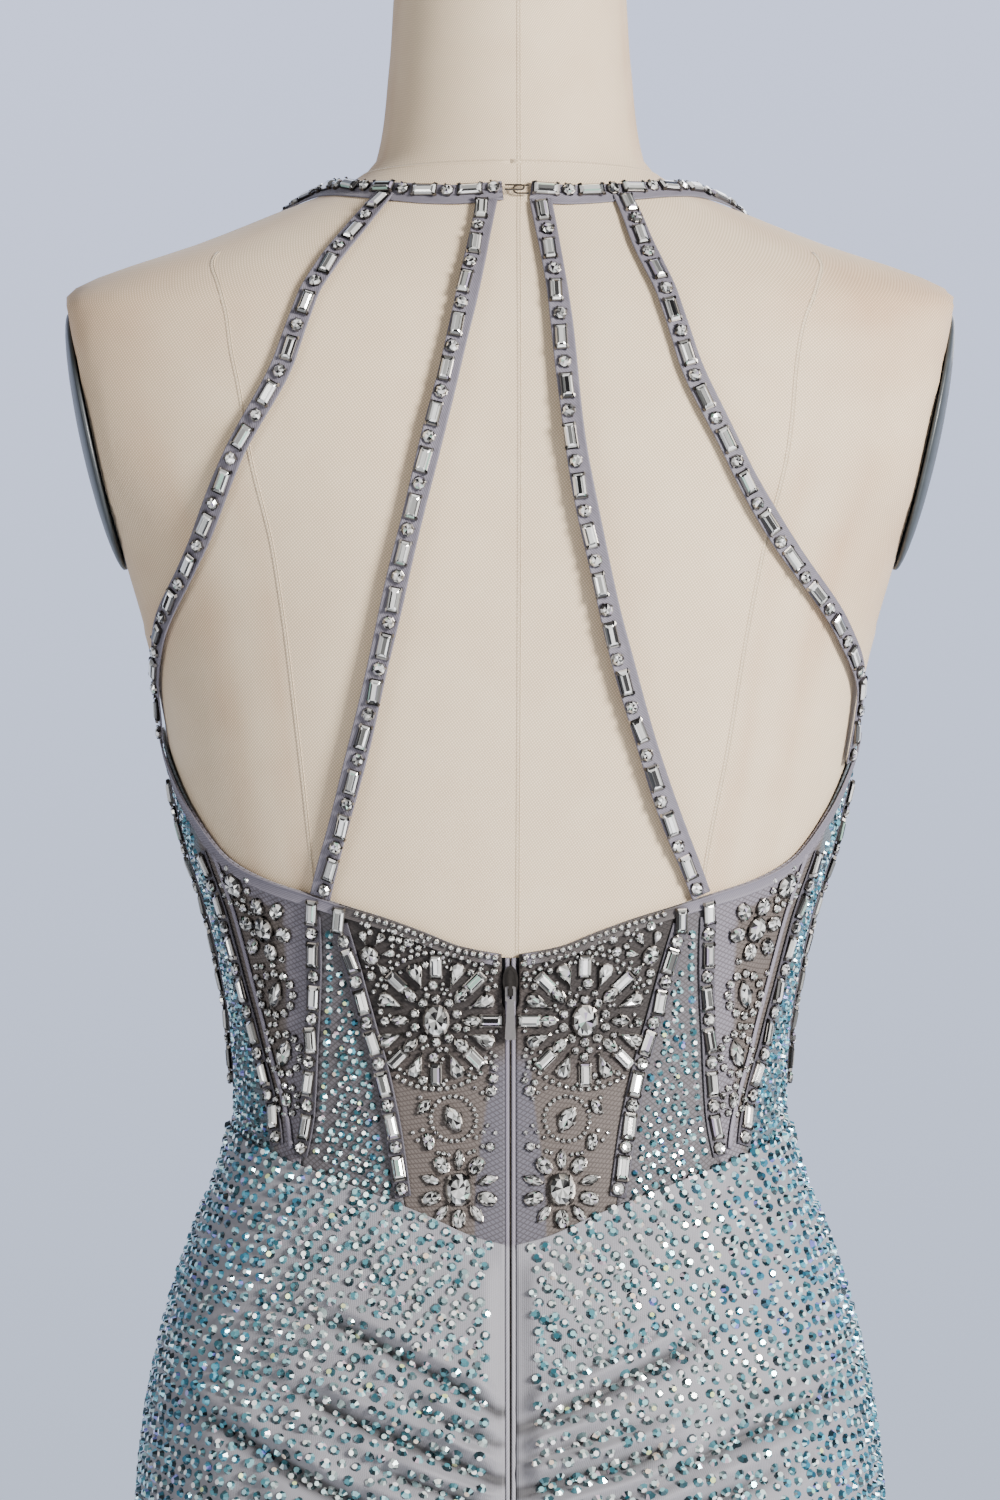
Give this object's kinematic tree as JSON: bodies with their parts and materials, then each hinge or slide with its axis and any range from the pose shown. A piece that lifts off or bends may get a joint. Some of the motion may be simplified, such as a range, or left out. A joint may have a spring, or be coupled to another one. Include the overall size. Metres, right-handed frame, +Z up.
{
  "type": "short prom dress on a limbless dress form with a stand",
  "caption": "Close-fitting short party dress with stoned straps across an open back, a zip and a ruched skirt, on a canvas dress form with a round stand.",
  "frame": {"origin": "middle of the stand's base, on the floor", "axes": "+Z up; the dress's back faces -Y and its front +Y; +X is to the right for someone who looks at the back"},
  "size_m": [0.41, 0.41, 1.5558],
  "materials": {
    "form_canvas": "cream cotton canvas, matte",
    "armhole_plate": "dark grey-green enamel",
    "stand_metal": "satin grey",
    "crystal_trim": "clear crystals in antique silver settings on lilac-grey tulle ribbon",
    "tulle_ribbon": "lilac-grey tulle, matte",
    "beaded_net": "brown-grey net with crystals",
    "stoned_jersey": "silver-grey jersey covered in small aqua stones",
    "zip_metal": "gunmetal"
  },
  "bodies": {
    "dress_and_form": {"form_torso": "form_canvas", "arm_plate_left": "armhole_plate", "arm_plate_right": "armhole_plate", "stand_pole": "stand_metal", "stand_base": "stand_metal", "neckband": "crystal_trim", "neck_hook": "zip_metal", "neck_eye": "zip_metal", "strap_outer_left": "crystal_trim", "strap_inner_left": "crystal_trim", "strap_inner_right": "crystal_trim", "strap_outer_right": "crystal_trim", "back_binding_left": "tulle_ribbon", "back_binding_right": "tulle_ribbon", "back_net_left": "beaded_net", "back_net_right": "beaded_net", "back_wedge_left": "stoned_jersey", "back_wedge_right": "stoned_jersey", "back_side_left": "beaded_net", "back_side_right": "beaded_net", "boning_wedge_inner_left": "crystal_trim", "boning_wedge_inner_right": "crystal_trim", "boning_wedge_outer_left": "crystal_trim", "boning_wedge_outer_right": "crystal_trim", "boning_side_left": "crystal_trim", "boning_side_right": "crystal_trim", "boning_underarm_left": "crystal_trim", "boning_underarm_right": "crystal_trim", "bodice_front": "stoned_jersey", "zip_tape_left": "tulle_ribbon", "zip_tape_right": "tulle_ribbon", "zip_slider": "zip_metal", "skirt_back_left": "stoned_jersey", "skirt_back_right": "stoned_jersey", "skirt_front": "stoned_jersey"},
    "pull_tab": {"zip_pull_tab": "zip_metal"}
  },
  "joints": [
    {"name": "pull_tab_swing", "type": "hinge", "parent": "dress_and_form", "child": "pull_tab", "pos_m": [0, -0.08337, 1.0944], "axis": [-1, 0, 0], "range_deg": [0, 150]}
  ]
}
